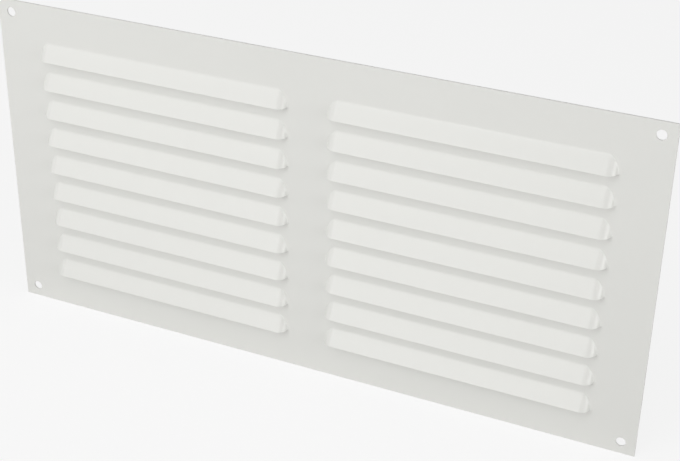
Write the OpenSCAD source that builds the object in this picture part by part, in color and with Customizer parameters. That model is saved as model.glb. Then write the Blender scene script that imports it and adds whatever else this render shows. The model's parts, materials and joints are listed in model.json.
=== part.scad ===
// Louvred vent panel pressed from one flat sheet, with two columns of louvres that open downwards.
// X runs along the panel and Z up. Y runs into the wall, so the louvres stand out towards -Y.
// The origin is the centre of the sheet's back face, which lies on the wall.

/* [Panel] */
// Length of the panel
panel_w = 400; // [250:1:600]
// Height of the panel
panel_h = 200; // [120:1:400]
// Thickness of the sheet
sheet_t = 1; // [0.8:0.1:1.5]

/* [Louvres] */
// Plain margin at each short edge of the panel
side_margin = 27; // [20:1:60]
// Least plain margin above the first louvre and below the last one
top_margin = 23; // [18:1:40]
// Plain strip between the two columns
bridge_w = 24; // [8:1:60]
// Distance from one louvre to the next below it
louvre_pitch = 18; // [16:0.5:30]
// Distance down the panel from a louvre's fold to its cut edge
louvre_drop = 10; // [7:0.5:12]
// How far a louvre's free edge stands out from the sheet's front
louvre_rise = 5.5; // [3.5:0.5:8]
// Outer radius that a louvre's closed ends are rolled to
end_r = 6; // [4:0.5:9]
// Radius of the fold along the top of a louvre, on the front
fold_r = 3.5; // [1.5:0.5:5]

/* [Screw holes] */
// Diameter of each corner hole
hole_d = 5.5; // [3.5:0.1:8]
// Distance of a hole's centre from the short edge
hole_inset_x = 8.5; // [7:0.5:12]
// Distance of a hole's centre from the long edge
hole_inset_z = 7.5; // [7:0.5:12]

/* [Hidden] */
$fn = 48;
coat = [0.89, 0.89, 0.875];
cut_clear = 1;
// the louvres: how many rows the height takes, and where they stand
louvre_rows = floor((panel_h - 2 * top_margin - louvre_drop) / louvre_pitch) + 1;
stack_h = (louvre_rows - 1) * louvre_pitch + louvre_drop;
louvre_len = (panel_w - bridge_w) / 2 - side_margin;
column_x = (bridge_w + louvre_len) / 2;
// the fold: its angle, how far its bend reaches to each side, and its length between the rolled ends
slope = atan(louvre_rise / louvre_drop);
bend_reach = fold_r * tan(slope / 2);
bend_len = louvre_len - 2 * (end_r + sheet_t);
// lengths that reach clear of the louvre all round
slab_reach = 2 * louvre_drop;
slab_depth = 2 * (louvre_rise + sheet_t + end_r);

// Cross-section of a louvre's pressing, wide side down, with both ends rolled over
module rolled_section(len, r)
{
    translate([-len / 2 + r, -slab_depth]) square([len - 2 * r, slab_depth]);
    translate([-len / 2, -slab_depth]) square([len, slab_depth - r]);
    for (side = [-1, 1])
        translate([side * (len / 2 - r), -r]) circle(r);
}

// The section run down the slope of the louvre, set in by a skin from the outer face
module rolled_slab(skin)
{
    rotate([-slope, 0, 0])
        translate([0, skin, -slab_reach])
            rotate([0, 0, 180])
                linear_extrude(2 * slab_reach)
                    rolled_section(louvre_len - 2 * skin, end_r - skin);
}

// Keeps what lies between the fold and the cut edge, back to a depth behind the sheet's front
module above_cut(depth)
{
    intersection()
    {
        children();
        translate([-louvre_len, -slab_reach, -louvre_drop])
            cube([2 * louvre_len, slab_reach + depth, louvre_drop + cut_clear]);
    }
}

// The sliver between the sharp fold and its bend, in the corner that lies a skin behind the front
module bend_sliver(skin)
{
    rotate([90, 0, 90])
        linear_extrude(bend_len, center = true)
            difference()
            {
                polygon([
                    [skin, bend_reach],
                    [-fold_r, bend_reach],
                    [-bend_reach * sin(slope) + skin * cos(slope),
                     -bend_reach * cos(slope) - skin * sin(slope)],
                    [skin, -skin * tan(slope / 2)]
                ]);
                translate([-fold_r, bend_reach]) circle(fold_r + skin);
            }
}

// Runs its children at the fold of every louvre, on the front of the sheet
module at_each_louvre()
{
    for (side = [-1, 1], row = [0 : louvre_rows - 1])
        translate([side * column_x, -sheet_t, stack_h / 2 - row * louvre_pitch])
            children();
}

module louvre_panel()
{
    color(coat)
        difference()
        {
            union()
            {
                translate([-panel_w / 2, -sheet_t, -panel_h / 2])
                    cube([panel_w, sheet_t, panel_h]);
                at_each_louvre()
                {
                    above_cut(sheet_t / 2) rolled_slab(0);
                    bend_sliver(0);
                }
            }
            at_each_louvre()
            {
                above_cut(sheet_t + cut_clear) rolled_slab(sheet_t);
                bend_sliver(sheet_t);
            }
            for (x = [-1, 1], z = [-1, 1])
                translate([x * (panel_w / 2 - hole_inset_x), cut_clear, z * (panel_h / 2 - hole_inset_z)])
                    rotate([90, 0, 0])
                        cylinder(h = sheet_t + 2 * cut_clear, d = hole_d);
        }
}

louvre_panel();
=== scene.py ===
"""Louvred vent panel, pressed from one coated sheet, and the plain studio that it stands in."""

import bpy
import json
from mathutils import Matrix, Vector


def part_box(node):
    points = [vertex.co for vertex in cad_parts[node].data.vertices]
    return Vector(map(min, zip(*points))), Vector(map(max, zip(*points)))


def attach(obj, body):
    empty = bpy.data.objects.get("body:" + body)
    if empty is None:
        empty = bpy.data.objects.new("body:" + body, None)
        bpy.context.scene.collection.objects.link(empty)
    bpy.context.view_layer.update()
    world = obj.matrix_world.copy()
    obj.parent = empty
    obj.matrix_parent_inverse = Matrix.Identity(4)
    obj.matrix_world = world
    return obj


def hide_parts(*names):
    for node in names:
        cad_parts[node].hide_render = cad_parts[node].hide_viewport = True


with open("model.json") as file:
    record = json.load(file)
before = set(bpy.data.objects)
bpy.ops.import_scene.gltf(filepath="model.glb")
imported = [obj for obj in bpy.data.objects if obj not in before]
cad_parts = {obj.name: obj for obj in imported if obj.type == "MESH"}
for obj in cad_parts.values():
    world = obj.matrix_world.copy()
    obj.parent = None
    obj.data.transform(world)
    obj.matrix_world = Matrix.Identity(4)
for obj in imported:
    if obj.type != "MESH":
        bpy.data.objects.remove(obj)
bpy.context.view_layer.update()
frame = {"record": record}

import json
import logging
import math
from dataclasses import dataclass
from enum import Enum

import bmesh
import bpy
from mathutils import Matrix, Vector

NODE = "louvre_panel"
BODY = "root"

log = logging.getLogger("louvre_panel")


class Column(Enum):
    """The two columns of louvres, each with its sign along X."""

    LEFT = -1
    RIGHT = 1


@dataclass(frozen=True)
class LouvreForm:
    """The form that the press gives one louvre, in metres.

    A place on it is given by drop_at, its distance down the panel from the fold, and by past_roll, its distance
    outwards from where the rolled end starts. A skin is a depth behind the front of the sheet.
    """

    length: float = 0.161
    drop: float = 0.010
    rise: float = 0.0055
    roll_r: float = 0.006
    foot_r: float = 0.001
    fold_r: float = 0.0035

    @property
    def slope(self) -> float:
        """Angle between the louvre and the sheet, in radians."""
        return math.atan2(self.rise, self.drop)

    @property
    def bend_reach(self) -> float:
        """How far the bend reaches up the sheet from the fold."""
        return self.fold_r * math.tan(self.slope / 2)

    @property
    def roll_start(self) -> float:
        """Distance from the louvre's middle to where its ends start to roll."""
        return self.length / 2 - self.roll_r

    @property
    def slit_reach(self) -> float:
        """How far the slit runs past the start of the roll."""
        return self.foot_reach(self.drop, 0.0)

    def crest(self, drop_at: float, skin: float) -> float:
        """Gives the height of the louvre between its rolled ends.

        Args:
            drop_at: Distance down the panel from the fold on the front.
            skin: Depth behind the front of the sheet.

        Returns:
            The height above the flat sheet at that depth.
        """
        radius = self.fold_r + skin
        past_bend = drop_at + self.bend_reach
        if past_bend <= 0:
            return 0.0
        if past_bend < radius * math.sin(self.slope):
            return radius - math.sqrt(radius**2 - past_bend**2)
        return (drop_at - skin * math.tan(self.slope / 2)) * math.tan(self.slope)

    def foot_reach(self, drop_at: float, skin: float) -> float:
        """Gives how far past the start of the roll the louvre meets the flat sheet.

        Args:
            drop_at: Distance down the panel from the fold on the front.
            skin: Depth behind the front of the sheet.

        Returns:
            The distance from the start of the roll to the far side of the foot.
        """
        span = self.roll_r + self.foot_r
        depth = self.crest(drop_at, skin) * math.cos(self.slope)
        return math.sqrt(span**2 - (span - depth) ** 2)

    def height(self, drop_at: float, past_roll: float, skin: float) -> float:
        """Gives the height of the pressed sheet anywhere on the louvre.

        Args:
            drop_at: Distance down the panel from the fold on the front.
            past_roll: Distance outwards from the start of the roll.
            skin: Depth behind the front of the sheet.

        Returns:
            The height above the flat sheet at that depth.
        """
        crest = self.crest(drop_at, skin)
        depth = crest * math.cos(self.slope)
        reach = self.foot_reach(drop_at, skin)
        roll = self.roll_r - skin
        foot = self.foot_r + skin
        if past_roll <= 0:
            fall = 0.0
        elif past_roll <= reach * roll / (roll + foot):
            fall = roll - math.sqrt(roll**2 - past_roll**2)
        elif past_roll < reach:
            fall = depth - foot + math.sqrt(foot**2 - (reach - past_roll) ** 2)
        else:
            fall = depth
        return crest - fall / math.cos(self.slope)


@dataclass(frozen=True)
class Mesh:
    """How finely the sheet is divided where it bends."""

    bend_steps: int = 8
    face_steps: int = 12
    face_spread: float = 1.6
    roll_steps: int = 12
    foot_steps: int = 6
    hole_side_steps: int = 12
    least_reach: float = 0.0025
    rim_r: float = 0.0002
    rim_steps: int = 2
    shear_gap: float = 0.00004


def nearest_face(bm: bmesh.types.BMesh, point: Vector) -> bmesh.types.BMFace:
    """Finds the face whose corners lie evenly round a point, or come nearest to that.

    Args:
        bm: The mesh.
        point: The point.

    Returns:
        The face.
    """
    return min(bm.faces, key=lambda face: (face.calc_center_median() - point).length)


@dataclass(frozen=True)
class PressedSheet:
    """The panel: a flat blank that is lanced, punched, given its thickness and pressed. Sizes are in metres."""

    low: Vector
    high: Vector
    hole_spacing: tuple[float, float]
    hole_r: float
    sheet_t: float = 0.001
    bridge_w: float = 0.024
    side_margin: float = 0.027
    top_margin: float = 0.023
    pitch: float = 0.018
    louvre: LouvreForm = LouvreForm()
    mesh: Mesh = Mesh()

    @property
    def half_w(self) -> float:
        """Half the panel's length."""
        return (self.high.x - self.low.x) / 2

    @property
    def half_h(self) -> float:
        """Half the panel's height."""
        return (self.high.z - self.low.z) / 2

    @property
    def column_x(self) -> float:
        """Distance of each column's middle from the panel's middle."""
        return (self.bridge_w + self.louvre.length) / 2

    @property
    def rows(self) -> int:
        """Number of louvres in a column."""
        free = 2 * (self.half_h - self.top_margin) - self.louvre.drop
        return math.floor(free / self.pitch + 1e-6) + 1

    def fold_z(self, row: int) -> float:
        """Height of a row's fold, with row 0 at the top."""
        stack = (self.rows - 1) * self.pitch + self.louvre.drop
        return stack / 2 - row * self.pitch

    def place(self, x: float, z: float) -> tuple[float, float]:
        """Gives the place of a point of the blank on the louvre next to it.

        Args:
            x: Place along the panel.
            z: Height on the panel.

        Returns:
            Its distance down from the nearest fold that it can belong to, and its distance past the start of
            the nearer roll.
        """
        top = self.fold_z(0)
        row = math.floor((top + self.louvre.bend_reach - z) / self.pitch)
        row = min(max(row, 0), self.rows - 1)
        past_roll = abs(abs(x) - self.column_x) - self.louvre.roll_start
        return self.fold_z(row) - z, past_roll

    def lines_along(self) -> list[float]:
        """Gives the places along X where the blank is divided.

        Returns:
            The places from the left edge to the right edge.
        """
        form, mesh = self.louvre, self.mesh
        turn = math.asin(form.slit_reach / (form.roll_r + form.foot_r))
        past_roll = [form.roll_r * math.sin(turn * k / mesh.roll_steps) for k in range(mesh.roll_steps + 1)]
        past_roll += [
            form.slit_reach - form.foot_r * math.sin(turn * (1 - k / mesh.foot_steps))
            for k in range(1, mesh.foot_steps + 1)
        ]
        right = [self.half_w, self.hole_spacing[0] - self.half_w]
        for end in (-1, 1):
            right += [self.column_x + end * (form.roll_start + past) for past in past_roll]
        return sorted([-x for x in right] + right)

    def lines_down(self) -> list[float]:
        """Gives the heights where the blank is divided.

        Returns:
            The heights from the lower edge to the upper edge.
        """
        form, mesh = self.louvre, self.mesh
        bend = [
            form.fold_r * math.sin(form.slope * k / mesh.bend_steps) - form.bend_reach
            for k in range(mesh.bend_steps + 1)
        ]
        plane = form.drop - bend[-1]
        drops = bend + [
            bend[-1] + plane * (k / mesh.face_steps) ** mesh.face_spread for k in range(1, mesh.face_steps + 1)
        ]
        heights = [self.fold_z(row) - drop for row in range(self.rows) for drop in drops]
        for edge in (-1, 1):
            heights += [edge * self.half_h, edge * (self.hole_spacing[1] - self.half_h)]
        return sorted(heights)

    def blank(self) -> bmesh.types.BMesh:
        """Cuts the blank, divided into the faces that the pressing needs.

        Returns:
            The flat blank at the front of the sheet.
        """
        along, down = self.lines_along(), self.lines_down()
        bm = bmesh.new()
        bmesh.ops.create_grid(bm, x_segments=len(along) - 1, y_segments=len(down) - 1, size=0.5)
        for vert in bm.verts:
            column = round((vert.co.x + 0.5) * (len(along) - 1))
            line = round((vert.co.y + 0.5) * (len(down) - 1))
            vert.co = Vector((along[column], self.high.y - self.sheet_t, down[line]))
        return bm

    def follow_rolls(self, bm: bmesh.types.BMesh) -> None:
        """Draws the divisions at each louvre's ends in towards its fold, along the outline of the rolled ends.

        Args:
            bm: The flat blank.
        """
        form = self.louvre
        least = self.mesh.least_reach / form.slit_reach
        for vert in bm.verts:
            drop_at, past_roll = self.place(vert.co.x, vert.co.z)
            if not 0 < past_roll < form.slit_reach + self.mesh.shear_gap:
                continue
            if drop_at <= form.drop:
                share = max(form.foot_reach(drop_at, 0.0) / form.slit_reach, least)
            elif drop_at < self.pitch - form.bend_reach:
                way = (drop_at - form.drop) / (self.pitch - form.bend_reach - form.drop)
                share = 1 + way * (least - 1)
            else:
                share = 1.0
            side = math.copysign(1, vert.co.x)
            end = math.copysign(1, abs(vert.co.x) - self.column_x)
            vert.co.x = side * (self.column_x + end * (form.roll_start + past_roll * share))

    def lance(self, bm: bmesh.types.BMesh) -> None:
        """Slits the blank below each louvre, and parts the slit's lips by the gap of the shears.

        Args:
            bm: The flat blank.
        """
        slit_half = self.louvre.roll_start + self.louvre.slit_reach
        near = self.mesh.shear_gap / 8

        def on_slit(vert: bmesh.types.BMVert) -> bool:
            """Tells whether a corner of the blank lies on a slit."""
            drop_at, _ = self.place(vert.co.x, vert.co.z)
            return abs(drop_at - self.louvre.drop) < near and abs(abs(vert.co.x) - self.column_x) < slit_half + near

        slits = [
            edge
            for edge in bm.edges
            if all(on_slit(vert) for vert in edge.verts) and edge.verts[0].co.x * edge.verts[1].co.x > 0
        ]
        bmesh.ops.split_edges(bm, edges=slits)
        for vert in bm.verts:
            if len(vert.link_faces) == 2 and on_slit(vert):
                below = vert.link_faces[0].calc_center_median().z < vert.co.z
                vert.co.z += self.mesh.shear_gap / 2 * (-1 if below else 1)

    def punch(self, bm: bmesh.types.BMesh) -> None:
        """Punches the round screw hole in each corner of the blank.

        Args:
            bm: The flat blank.
        """
        half_x, half_z = (spacing / 2 for spacing in self.hole_spacing)
        for x, z in ((-half_x, -half_z), (-half_x, half_z), (half_x, -half_z), (half_x, half_z)):
            centre = Vector((x, self.high.y - self.sheet_t, z))
            corner = nearest_face(bm, centre)
            bmesh.ops.subdivide_edges(bm, edges=corner.edges[:], cuts=self.mesh.hole_side_steps - 1)
            slug = nearest_face(bm, centre)
            bmesh.ops.inset_individual(bm, faces=[slug], thickness=self.mesh.rim_r)
            for vert in slug.verts:
                vert.co = centre + (vert.co - centre).normalized() * self.hole_r
            bmesh.ops.delete(bm, geom=[slug], context="FACES")

    def break_rims(self, bm: bmesh.types.BMesh) -> None:
        """Rounds the sharp rims of the sheet all round, up to just short of each slit's ends.

        Args:
            bm: The blank with its thickness.
        """
        near = self.mesh.shear_gap / 8

        def ends_slit(vert: bmesh.types.BMVert) -> bool:
            """Tells whether a corner of the mesh is the end of a slit."""
            drop_at, past_roll = self.place(vert.co.x, vert.co.z)
            return abs(drop_at - self.louvre.drop) < near and abs(past_roll - self.louvre.slit_reach) < near

        low, high = math.radians(60), math.radians(120)
        rims = [
            edge
            for edge in bm.edges
            if low < edge.calc_face_angle() < high and not any(ends_slit(vert) for vert in edge.verts)
        ]
        bmesh.ops.bevel(
            bm,
            geom=rims,
            offset=self.mesh.rim_r,
            offset_type="OFFSET",
            segments=self.mesh.rim_steps,
            profile=0.5,
            affect="EDGES",
            clamp_overlap=False,
            material=-1,
        )

    def press(self, bm: bmesh.types.BMesh) -> None:
        """Presses the louvres: each point of the blank moves out by what the tools give it at its depth.

        Args:
            bm: The blank with its thickness and its broken rims.
        """
        form = self.louvre
        front = self.high.y - self.sheet_t
        for vert in bm.verts:
            drop_at, past_roll = self.place(vert.co.x, vert.co.z)
            if drop_at > form.drop:
                continue
            depth = (vert.co.y - front) / self.sheet_t
            rise_front = form.height(drop_at, past_roll, 0.0)
            rise_back = form.height(drop_at, past_roll, self.sheet_t)
            vert.co.y -= rise_front + depth * (rise_back - rise_front)

    def build(self) -> bpy.types.Object:
        """Makes the panel's mesh.

        Returns:
            The panel's object, with its place in its mesh.
        """
        bm = self.blank()
        self.follow_rolls(bm)
        self.lance(bm)
        self.punch(bm)
        bmesh.ops.solidify(bm, geom=bm.faces[:], thickness=self.sheet_t)
        self.break_rims(bm)
        self.press(bm)
        bmesh.ops.recalc_face_normals(bm, faces=bm.faces[:])
        for face in bm.faces:
            face.smooth = True
        mesh = bpy.data.meshes.new("pressed_louvre_panel")
        bm.to_mesh(mesh)
        bm.free()
        panel = bpy.data.objects.new("pressed_louvre_panel", mesh)
        bpy.context.scene.collection.objects.link(panel)
        return panel

    def dress(self, panel: bpy.types.Object, coat: "SprayedCoat") -> None:
        """Gives the panel its finish, and lets its flat faces keep their flat look beside the rounded rims.

        Args:
            panel: The panel's object.
            coat: The finish.
        """
        panel.data.materials.append(coat.material())
        even = panel.modifiers.new("even_normals", "WEIGHTED_NORMAL")
        even.mode = "FACE_AREA"
        even.keep_sharp = False
        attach(panel, BODY)
        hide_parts(NODE)


class Nodes:
    """A node tree with short calls for adding and joining nodes."""

    def __init__(self, tree: bpy.types.NodeTree) -> None:
        """Starts on an emptied tree."""
        self.tree = tree
        tree.nodes.clear()

    def add(self, kind: str, settings: dict | None = None, **inputs: object) -> bpy.types.Node:
        """Adds a node.

        Args:
            kind: The node's type.
            settings: Properties of the node.
            inputs: Values or output sockets for its inputs, by name, with underscores for spaces.

        Returns:
            The new node.
        """
        node = self.tree.nodes.new(kind)
        for name, value in (settings or {}).items():
            setattr(node, name, value)
        for name, value in inputs.items():
            socket = node.inputs[name.replace("_", " ")]
            if isinstance(value, bpy.types.NodeSocket):
                self.tree.links.new(value, socket)
            else:
                socket.default_value = value
        return node


def seen_directly(nodes: Nodes) -> bpy.types.NodeSocket:
    """Adds nodes that tell what the camera and the panel's gloss see from what only gives light.

    Args:
        nodes: The material's or the world's nodes.

    Returns:
        An output that is 1 for camera and glossy rays, and 0 for the rest.
    """
    path = nodes.add("ShaderNodeLightPath")
    either = nodes.add("ShaderNodeMath", {"operation": "MAXIMUM"})
    for ray, socket in zip(("Is Camera Ray", "Is Glossy Ray"), either.inputs):
        nodes.tree.links.new(path.outputs[ray], socket)
    return either.outputs["Value"]


def coat_grain() -> bpy.types.NodeTree:
    """Makes the node group of a sprayed and baked coat's own texture.

    Returns:
        The group. Its Height is the fine waviness of the coat, and its Cloud is a slow change from place to place.
    """
    group = bpy.data.node_groups.new("coat_grain", "ShaderNodeTree")
    for name, start in (("Wave Scale", 500.0), ("Cloud Scale", 12.0)):
        socket = group.interface.new_socket(name, in_out="INPUT", socket_type="NodeSocketFloat")
        socket.default_value = start
    for name in ("Height", "Cloud"):
        group.interface.new_socket(name, in_out="OUTPUT", socket_type="NodeSocketFloat")
    nodes = Nodes(group)
    start = nodes.add("NodeGroupInput")
    place = nodes.add("ShaderNodeTexCoord").outputs["Object"]
    wave = nodes.add("ShaderNodeTexNoise", Vector=place, Scale=start.outputs["Wave Scale"], Detail=2.0, Roughness=0.55)
    cloud = nodes.add("ShaderNodeTexNoise", Vector=place, Scale=start.outputs["Cloud Scale"], Detail=3.0, Roughness=0.5)
    nodes.add("NodeGroupOutput", Height=wave.outputs["Fac"], Cloud=cloud.outputs["Fac"])
    return group


@dataclass(frozen=True)
class SprayedCoat:
    """White powder coat, baked on: semi-matt, with a faint waviness."""

    dark: tuple[float, float, float] = (0.762, 0.764, 0.733)
    light: tuple[float, float, float] = (0.778, 0.778, 0.747)
    rough_low: float = 0.31
    rough_high: float = 0.35
    wave_scale: float = 550.0
    wave_height: float = 0.000012
    cloud_scale: float = 14.0

    def material(self) -> bpy.types.Material:
        """Makes the coat's material.

        Returns:
            The material.
        """
        made = bpy.data.materials.new("white_powder_coat")
        made.use_nodes = True
        nodes = Nodes(made.node_tree)
        grain = nodes.add("ShaderNodeGroup", {"node_tree": coat_grain()})
        grain.inputs["Wave Scale"].default_value = self.wave_scale
        grain.inputs["Cloud Scale"].default_value = self.cloud_scale
        cloud = grain.outputs["Cloud"]
        shade = nodes.add("ShaderNodeMix", {"data_type": "RGBA"})
        shade.inputs["A"].default_value = (*self.dark, 1)
        tint = [socket for socket in shade.inputs if socket.type == "RGBA"]
        tint[0].default_value = (*self.dark, 1)
        tint[1].default_value = (*self.light, 1)
        nodes.tree.links.new(cloud, shade.inputs["Factor"])
        mixed = next(socket for socket in shade.outputs if socket.type == "RGBA")
        rough = nodes.add("ShaderNodeMapRange", Value=cloud, To_Min=self.rough_low, To_Max=self.rough_high)
        bump = nodes.add("ShaderNodeBump", Height=grain.outputs["Height"], Distance=self.wave_height)
        shader = nodes.add(
            "ShaderNodeBsdfPrincipled",
            Base_Color=mixed,
            Roughness=rough.outputs["Result"],
            Normal=bump.outputs["Normal"],
        )
        nodes.add("ShaderNodeOutputMaterial", Surface=shader.outputs["BSDF"])
        return made


@dataclass(frozen=True)
class SoftLamp:
    """A rectangular softbox that faces the panel's middle. Angles are in degrees, from the panel's front."""

    name: str
    azimuth: float
    elevation: float
    size: tuple[float, float]
    power: float
    distance: float = 1.7

    def hang(self) -> None:
        """Hangs the lamp in the scene."""
        turn, lift = math.radians(self.azimuth), math.radians(self.elevation)
        way = Vector((math.sin(turn) * math.cos(lift), -math.cos(turn) * math.cos(lift), math.sin(lift)))
        data = bpy.data.lights.new(self.name, "AREA")
        data.shape = "RECTANGLE"
        data.size, data.size_y = self.size
        data.energy = self.power
        lamp = bpy.data.objects.new(self.name, data)
        lamp.location = way * self.distance
        lamp.rotation_euler = way.to_track_quat("Z", "Y").to_euler()
        bpy.context.scene.collection.objects.link(lamp)


@dataclass(frozen=True)
class Viewpoint:
    """The camera: where it looks, from which side and with what lens. Angles are in degrees."""

    aim: tuple[float, float, float] = (0.0207, -0.001, -0.0015)
    azimuth: float = 24.11
    elevation: float = 28.60
    roll: float = 0.99
    distance: float = 0.808
    lens: float = 76.27

    def place(self) -> None:
        """Puts the camera in the scene and makes it the one in use."""
        turn, lift = math.radians(self.azimuth), math.radians(self.elevation)
        forward = Vector((-math.sin(turn) * math.cos(lift), math.cos(turn) * math.cos(lift), -math.sin(lift)))
        data = bpy.data.cameras.new("viewpoint")
        data.lens = self.lens
        camera = bpy.data.objects.new("viewpoint", data)
        level = forward.to_track_quat("-Z", "Y").to_matrix().to_4x4()
        tilt = Matrix.Rotation(math.radians(self.roll), 4, "Z")
        camera.matrix_world = Matrix.Translation(Vector(self.aim) - forward * self.distance) @ level @ tilt
        bpy.context.scene.collection.objects.link(camera)
        bpy.context.scene.camera = camera


@dataclass(frozen=True)
class Studio:
    """Pale floor, white surroundings and soft lamps."""

    floor_z: float
    floor_half: float = 4.0
    paper: tuple[float, float, float] = (0.8, 0.8, 0.8)
    shown_white: float = 0.86
    sky: float = 0.2
    lamps: tuple[SoftLamp, ...] = (
        SoftLamp("key", azimuth=-25, elevation=25, size=(1.4, 0.8), power=8.0),
        SoftLamp("front", azimuth=0, elevation=8, size=(1.4, 0.6), power=6.0),
        SoftLamp("right", azimuth=75, elevation=8, size=(0.8, 0.6), power=7.3),
        SoftLamp("left", azimuth=-72, elevation=8, size=(0.8, 0.6), power=2.2),
        SoftLamp("top", azimuth=-10, elevation=55, size=(1.2, 0.8), power=4.8),
    )

    def build(self) -> None:
        """Builds the floor, the surroundings and the lamps, and sets how the picture shows colours."""
        self.lay_floor()
        self.light_surroundings()
        for lamp in self.lamps:
            lamp.hang()
        bpy.context.scene.view_settings.view_transform = "Standard"

    def lay_floor(self) -> None:
        """Lays the paper floor, which shows white and still takes the panel's shadow."""
        bm = bmesh.new()
        bmesh.ops.create_grid(bm, x_segments=1, y_segments=1, size=self.floor_half)
        bmesh.ops.translate(bm, verts=bm.verts, vec=(0, 0, self.floor_z))
        mesh = bpy.data.meshes.new("floor")
        bm.to_mesh(mesh)
        bm.free()
        floor = bpy.data.objects.new("floor", mesh)
        bpy.context.scene.collection.objects.link(floor)
        made = bpy.data.materials.new("white_paper")
        made.use_nodes = True
        nodes = Nodes(made.node_tree)
        share = nodes.add("ShaderNodeMapRange", Value=seen_directly(nodes), To_Min=0.0, To_Max=self.shown_white)
        paper = nodes.add("ShaderNodeBsdfDiffuse", Color=(*self.paper, 1))
        white = nodes.add("ShaderNodeEmission", Color=(1, 1, 1, 1), Strength=1.0)
        mix = nodes.add("ShaderNodeMixShader", Fac=share.outputs["Result"])
        nodes.tree.links.new(paper.outputs["BSDF"], mix.inputs[1])
        nodes.tree.links.new(white.outputs["Emission"], mix.inputs[2])
        nodes.add("ShaderNodeOutputMaterial", Surface=mix.outputs["Shader"])
        mesh.materials.append(made)

    def light_surroundings(self) -> None:
        """Makes the white surroundings, which show full white and light the panel softly."""
        world = bpy.data.worlds.new("surroundings")
        world.use_nodes = True
        bpy.context.scene.world = world
        nodes = Nodes(world.node_tree)
        strength = nodes.add("ShaderNodeMapRange", Value=seen_directly(nodes), To_Min=self.sky, To_Max=1.0)
        white = nodes.add("ShaderNodeBackground", Color=(1, 1, 1, 1), Strength=strength.outputs["Result"])
        nodes.add("ShaderNodeOutputWorld", Surface=white.outputs["Background"])


def main() -> None:
    """Builds the panel and its studio, and reports each piece."""
    logging.basicConfig(level=logging.INFO, format="%(name)s: %(message)s")
    low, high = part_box(NODE)
    holes = next(mount["dims"] for mount in frame["record"]["mounts"] if mount["name"] == "fixing_holes")
    sheet = PressedSheet(
        low=low,
        high=high,
        hole_spacing=(holes["spacing_x_mm"] / 1000, holes["spacing_y_mm"] / 1000),
        hole_r=holes["hole_r_mm"] / 1000,
    )
    panel = sheet.build()
    sheet.dress(panel, SprayedCoat())
    log.info("%s: %d faces, %d louvres", panel.name, len(panel.data.polygons), sheet.rows * len(Column))
    Studio(floor_z=low.z).build()
    Viewpoint().place()
    log.info("studio and viewpoint are in place")


if __name__ == "__main__":
    main()
